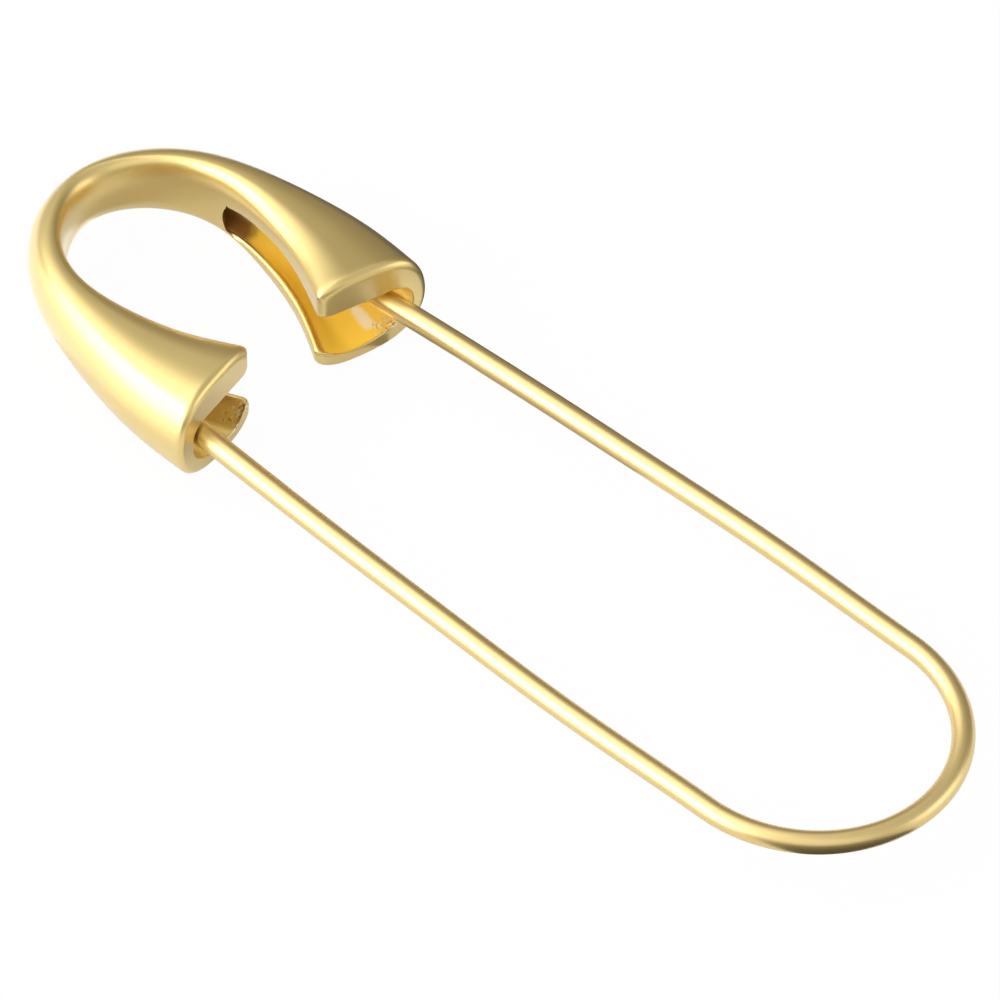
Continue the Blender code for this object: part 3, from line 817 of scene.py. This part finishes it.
def satin_gold(finish):
    """Satin plating outside and as-cast plating in the hollows, whose deep orange partly paints bounced
    light; painted shade at their blind ends, a painted reflection on the channel's floor, and specks
    from dark pits to pale painted glints.
    """
    material, tree, shader = new_material("satin_gold", SATIN_COAT)
    place = add_node(tree, "TexCoord", None, None, "Object")
    plating = add_node(tree, "Attribute", {"attribute_name": "plating"}, None, "Vector")
    reflection_patch = add_node(tree, "Attribute", {"attribute_name": "plating"}, None, "Alpha")
    inside, blind, rough = [add_node(tree, "SeparateXYZ", None, {"Vector": plating}, axis)
                            for axis in ("X", "Y", "Z")]
    grain, cloud, cast = [noise(tree, place, pattern) for pattern in (GRAIN, CLOUD, CAST)]
    inside = inside.between(*INSIDE_RANGE)
    # Painted shade at the blind end, with a noisy edge
    blind = (blind + (noise(tree, place, BLIND_SHADE_CLOUD) - 0.5) * BLIND_SHADE_SPREAD).between(*BLIND_SHADE_RANGE)
    # Painted reflection of the light on the channel's floor, with a noisy edge
    reflection_patch = (reflection_patch + (cast - 0.5) * REFLECTION_SPREAD).between(*REFLECTION_RANGE) * reflection_patch.between(*REFLECTION_AREA)
    dull = rough.between(*DULL_AREA) * inside * DULL_SHARE
    specks = (cast - 0.5 + (rough - SPECK_LEVEL) * SPECK_GAIN).between(*SPECK_RANGE)
    specks = specks * rough.between(*SPECK_AREA) * SPECK_SHARE
    tones = noise(tree, place, SPECKS).between(*SPECK_TONES)
    satin = mix_colour(tree, cloud, opaque(finish.satin, SATIN_SHADE), opaque(finish.satin))
    # The painted reflection turns the hollow's colour pale
    bright = mix_colour(tree, reflection_patch, opaque(finish.channel), opaque(finish.glint))
    bright = mix_colour(tree, dull, bright, opaque(finish.satin))
    # Painted shade darkens the hollow towards its blind end
    bright = mix_colour(tree, blind * inside, bright, opaque(finish.blind_shade_and_pit))
    # The hollows' deep orange partly paints light bounced between their walls
    plated = mix_colour(tree, inside, satin, bright)
    # Specks run from the colour of dark casting pits to pale painted glints
    speck = mix_colour(tree, tones, opaque(finish.blind_shade_and_pit), opaque(finish.glint))
    feed(shader, "Base Color", mix_colour(tree, specks, plated, speck))
    roughness = (finish.satin_roughness + (cloud - 0.5) * CLOUD_ROUGHNESS
                 + (grain - 0.5) * GRAIN_ROUGHNESS)
    feed(shader, "Roughness", roughness * (1 - inside) + inside * finish.channel_roughness)
    feed(shader, "Metallic", 1 - inside * (1 - finish.channel_metal))
    relief = (grain - 0.5) * (1 - inside) + (cast - 0.5) * rough * CAST_RELIEF
    feed(shader, "Normal", add_node(tree, "Bump", None, {"Height": relief, **SATIN_BUMP}))
    return material


def wire_gold(finish):
    """Plated drawn wire, with faint lines along its length."""
    material, tree, shader = new_material("wire_gold", {"Metallic": 1.0, **WIRE_COAT})
    lay = add_node(tree, "Attribute", {"attribute_name": "lay"}, None, "Vector")
    place = add_node(tree, "TexCoord", None, None, "Object")
    lines = noise(tree, lay, WIRE_LINES)
    grain = noise(tree, place, WIRE_GRAIN)
    feed(shader, "Base Color", mix_colour(tree, lines, opaque(finish.wire, WIRE_SHADE),
                                          opaque(finish.wire)))
    feed(shader, "Roughness", finish.wire_roughness + (lines - 0.5) * LINES_ROUGHNESS
         + (grain - 0.5) * WIRE_GRAIN_ROUGHNESS)
    relief = lines * LINES_RELIEF + grain * WIRE_GRAIN_RELIEF
    feed(shader, "Normal", add_node(tree, "Bump", None, {"Height": relief, **WIRE_BUMP}))
    return material


class BROOCH_OT_clasp_head(bpy.types.Operator):
    """Build the hollow horseshoe head with its fishtail arms"""
    bl_idname = "brooch.clasp_head"
    bl_label = "Clasp Head"

    def execute(self, context):
        settings = context.scene.brooch_pin
        sizes = settings.head
        surface, plating = HeadShape(sizes).points()
        shell = rolled_grid(surface)
        # The plating layer also carries the painted shade at the blind end and the painted reflection
        # on the channel's floor
        mark_grid(shell, shell.verts.layers.float_color.new("plating"), plating)
        caps = close_shell(shell, sizes.rim_radius / HEAD_MERGE_DIVISOR)
        bmesh.ops.inset_region(shell, faces=caps, thickness=sizes.rim_radius / CAP_INSET_DIVISOR,
                               use_even_offset=True)
        shell.transform(head_matrix(sizes, settings.wire))
        piece = piece_from(shell, "clasp_head_cast", satin_gold(settings.finish))
        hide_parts("clasp_head")
        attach(piece, "clasp")
        return {"FINISHED"}


def leg_spread(wire, setback):
    """Half the spread of the legs at a distance back from where the bend starts."""
    spreads = (wire.bend_width, wire.belly_spread, wire.middle_spread, wire.waist_spread,
               wire.mouth_spread)
    part = setback / wire.leg_length
    if part <= 1:
        return float(even_spline(spreads, part)[0]) / 2
    at_end = even_spline(spreads, 1)[0]
    slope = (at_end - even_spline(spreads, 1 - LEG_SLOPE_STEP)[0]) / LEG_SLOPE_STEP
    return float(at_end + slope * (part - 1)) / 2


def wire_line(wire):
    """Centreline of the whole wire, from the fixed leg's end over the bend to the point."""
    halves = []
    for side, tail in ((-1, wire.fixed_tail), (1, wire.free_tail)):
        line = []
        for angle in quarter_turn(BEND_POINTS // 2):
            x = wire.bend_depth * (math.cos(angle) - 1)
            line.append((x, side * wire.bend_width / 2 * math.sin(angle)))
        for setback in np.linspace(0, wire.leg_length + tail, LEG_POINTS)[1:]:
            line.append((-wire.bend_depth - setback, side * leg_spread(wire, setback)))
        halves.append(line)
    return np.array(halves[0][::-1] + halves[1][1:])


def wire_stations(wire):
    """Centreline points with the wire's radius and the distance along it at each."""
    line = wire_line(wire)
    along = np.concatenate([[0], np.cumsum(np.linalg.norm(np.diff(line, axis=0), axis=1))])
    total = along[-1]
    radius = wire.diameter / 2
    tip = wire.point_diameter / 2
    rounded = radius / END_ROUNDING_DIVISOR
    grind = total - wire.point_length
    point_shares = np.linspace(0, 1, POINT_STEPS + 1)[:-1]
    ends = [grind + wire.point_length * part for part in point_shares]
    ends += [total - tip * (1 - math.sin(angle)) for angle in quarter_turn(TIP_POINTS)]
    starts = [rounded * (1 - math.cos(angle)) for angle in quarter_turn(END_POINTS)]
    last_body = grind - radius / GRIND_GAP_DIVISOR
    body = [value for value in along if rounded < value < last_body]
    places = np.array(sorted(set(starts + body + ends)))
    radii = np.full(len(places), radius)
    ground = places > grind
    taper = np.clip((places[ground] - grind) / wire.point_length, 0, 1) ** POINT_TAPER
    radii[ground] = radius + (tip - radius) * taper
    last = places > total - tip
    radii[last] = tip * np.sqrt(np.clip(1 - ((places[last] - total + tip) / tip) ** 2, TIP_CLOSURE, 1))
    first = places < rounded
    gone = (rounded - places[first]) ** 2
    radii[first] = radius - rounded + np.sqrt(np.clip(rounded ** 2 - gone, 0, None))
    centres = np.stack([np.interp(places, along, line[:, axis]) for axis in (0, 1)], axis=1)
    return centres, radii, places


class BROOCH_OT_pin_wire(bpy.types.Operator):
    """Build the wire in one piece, from the fixed leg over the sprung bend to the point"""
    bl_idname = "brooch.pin_wire"
    bl_label = "Pin Wire"

    def execute(self, context):
        settings = context.scene.brooch_pin
        wire = settings.wire
        centres, radii, along = wire_stations(wire)
        tangent = np.gradient(centres, along, axis=0)
        tangent /= np.linalg.norm(tangent, axis=1)[:, None]
        across = np.stack([tangent[:, 1], -tangent[:, 0]], axis=1)
        angles = np.linspace(0, 2 * math.pi, WIRE_SIDES, endpoint=False)
        points = np.zeros((len(along), WIRE_SIDES, 3))
        points[..., :2] = (centres[:, None] + across[:, None] * radii[:, None, None]
                           * np.cos(angles)[None, :, None])
        points[..., 2] = radii[:, None] * np.sin(angles)[None]
        lay = np.zeros_like(points)
        lay[..., 0] = wire.diameter / 2 * np.cos(angles)
        lay[..., 1] = wire.diameter / 2 * np.sin(angles)
        lay[..., 2] = along[:, None] / LAY_STRETCH
        shell = rolled_grid(points)
        mark_grid(shell, shell.verts.layers.float_vector.new("lay"), lay)
        close_shell(shell, wire.diameter / WIRE_MERGE_DIVISOR)
        shell.transform(Matrix.Translation(WIRE_FRAME))
        piece = piece_from(shell, "pin_wire", wire_gold(settings.finish))
        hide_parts("pin_fixed_leg", "pin_free_leg")
        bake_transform(piece)
        return {"FINISHED"}


def seen_directly(tree, camera_share, mirror_share):
    """The shares of the glow that rays from the camera and from a mirror or glass meet."""
    camera, glossy, through = [add_node(tree, "LightPath", None, None, name)
                               for name in ("Is Camera Ray", "Is Glossy Ray", "Is Transmission Ray")]
    return camera * camera_share + glossy.larger(through) * mirror_share


def direction(azimuth, elevation):
    """Unit vector at an azimuth from +X and an elevation, in degrees."""
    azimuth, elevation = math.radians(azimuth), math.radians(elevation)
    return Vector((math.cos(azimuth) * math.cos(elevation), math.sin(azimuth) * math.cos(elevation),
                   math.sin(elevation)))


def add_floor():
    """Add the pale floor, which shows as white and keeps the pin's shadow."""
    shell = bmesh.new()
    bmesh.ops.create_grid(shell, x_segments=1, y_segments=1, size=FLOOR_HALF_SIDE)
    material, tree, shader = new_material("paper_white", {"Base Color": opaque(FLOOR_COLOUR),
                                                          "Roughness": FLOOR_ROUGHNESS})
    glow = add_node(tree, "Emission", None, {"Color": opaque(WHITE), "Strength": 1.0})
    both = add_node(tree, "MixShader", None, {0: seen_directly(tree, *FLOOR_GLOW_SHARES),
                                             1: Shade(shader.outputs[0]), 2: glow})
    feed(tree.nodes["Material Output"], "Surface", both)
    floor = piece_from(shell, "paper_floor", material)


def add_world(scene):
    """Add the white surroundings, which mirrors see a little darker than the camera does."""
    world = bpy.data.worlds.new("studio_world")
    world.use_nodes = True
    tree = world.node_tree
    feed(tree.nodes["Background"], "Color", opaque(WHITE))
    feed(tree.nodes["Background"], "Strength", WORLD_STRENGTH + seen_directly(tree, *WORLD_GLOW_SHARES))
    scene.world = world


def add_softbox(box, aim):
    """Add a soft light that faces the aim; at a radiance of 1 a mirror shows it as white."""
    data = bpy.data.lights.new(box.name, "AREA")
    data.shape = "RECTANGLE"
    data.size = box.width
    data.size_y = box.height
    data.energy = box.radiance * math.pi * box.width * box.height
    light = bpy.data.objects.new(box.name, data)
    away = direction(box.azimuth, box.elevation)
    light.location = aim + away * LIGHT_DISTANCE
    light.rotation_mode = "QUATERNION"
    light.rotation_quaternion = (-away).to_track_quat("-Z", "Y")
    light.visible_camera = False
    bpy.context.scene.collection.objects.link(light)


def add_card(card):
    """Add a glowing card that only reflections meet."""
    shell = bmesh.new()
    across = direction(card.azimuth, 0)
    ends = [shell.verts.new(across * radius + Vector((card.place, 0, height)))
            for radius, height in zip((card.inner, card.outer), card.heights)]
    shell.edges.new(ends)
    bmesh.ops.spin(shell, geom=shell.verts[:] + shell.edges[:], cent=(card.place, 0, 0),
                   axis=(0, 0, 1), angle=math.radians(card.turn), steps=CARD_STEPS)
    material, _, _ = new_material(card.name, {"Base Color": opaque(BLACK),
                                              "Emission Color": opaque(card.colour),
                                              "Emission Strength": card.glow})
    flag = piece_from(shell, card.name, material)
    flag.visible_camera = False
    flag.visible_shadow = False
    flag.visible_diffuse = False


def add_camera(scene):
    """Add the photograph's camera and make it the scene's."""
    right = direction(CAMERA_AZIMUTH, 0)
    forward = direction(CAMERA_AZIMUTH + 90, -CAMERA_ELEVATION)
    up = right.cross(forward)
    aim = CAMERA_AIM + right * CAMERA_OFFSET[0] + up * CAMERA_OFFSET[1]
    data = bpy.data.cameras.new("photo_camera")
    data.lens = CAMERA_LENS
    camera = bpy.data.objects.new("photo_camera", data)
    camera.location = aim - forward * CAMERA_DISTANCE
    camera.rotation_mode = "QUATERNION"
    camera.rotation_quaternion = Matrix((right, up, -forward)).transposed().to_quaternion()
    scene.collection.objects.link(camera)
    scene.camera = camera


class BROOCH_OT_studio(bpy.types.Operator):
    """Set up the pale floor, the soft lights and the camera"""
    bl_idname = "brooch.studio"
    bl_label = "Studio"

    def execute(self, context):
        context.scene.view_settings.view_transform = "Standard"
        add_floor()
        add_world(context.scene)
        for box in SOFTBOXES:
            add_softbox(box, (CAD_BOX[0] + CAD_BOX[1]) / 2)
        for card in CARDS:
            add_card(card)
        add_camera(context.scene)
        return {"FINISHED"}


class BROOCH_PT_panel(bpy.types.Panel):
    """Lists the brooch pin's sizes, colours and operators"""
    bl_idname = "BROOCH_PT_panel"
    bl_label = "Brooch Pin"
    bl_space_type = "VIEW_3D"
    bl_region_type = "UI"
    bl_category = "Brooch Pin"

    def draw(self, context):
        settings = context.scene.brooch_pin
        for title, group in (("Head", settings.head), ("Wire", settings.wire),
                             ("Finish", settings.finish)):
            box = self.layout.box()
            box.label(text=title)
            for name in type(group).__annotations__:
                box.prop(group, name)
        for operator in OPERATORS:
            self.layout.operator(operator.bl_idname)


OPERATORS = (BROOCH_OT_clasp_head, BROOCH_OT_pin_wire, BROOCH_OT_studio)
CLASSES = (BroochHeadSizes, BroochWireSizes, BroochFinish, BroochPin, *OPERATORS, BROOCH_PT_panel)


def register():
    """Register the classes and hang the settings on the scene."""
    for item in CLASSES:
        bpy.utils.register_class(item)
    bpy.types.Scene.brooch_pin = PointerProperty(type=BroochPin)


def unregister():
    """Undo what register did."""
    del bpy.types.Scene.brooch_pin
    for item in reversed(CLASSES):
        bpy.utils.unregister_class(item)


def main():
    """Build the brooch pin and its studio."""
    register()
    bpy.ops.brooch.clasp_head()
    bpy.ops.brooch.pin_wire()
    bpy.ops.brooch.studio()


if __name__ == "__main__":
    main()
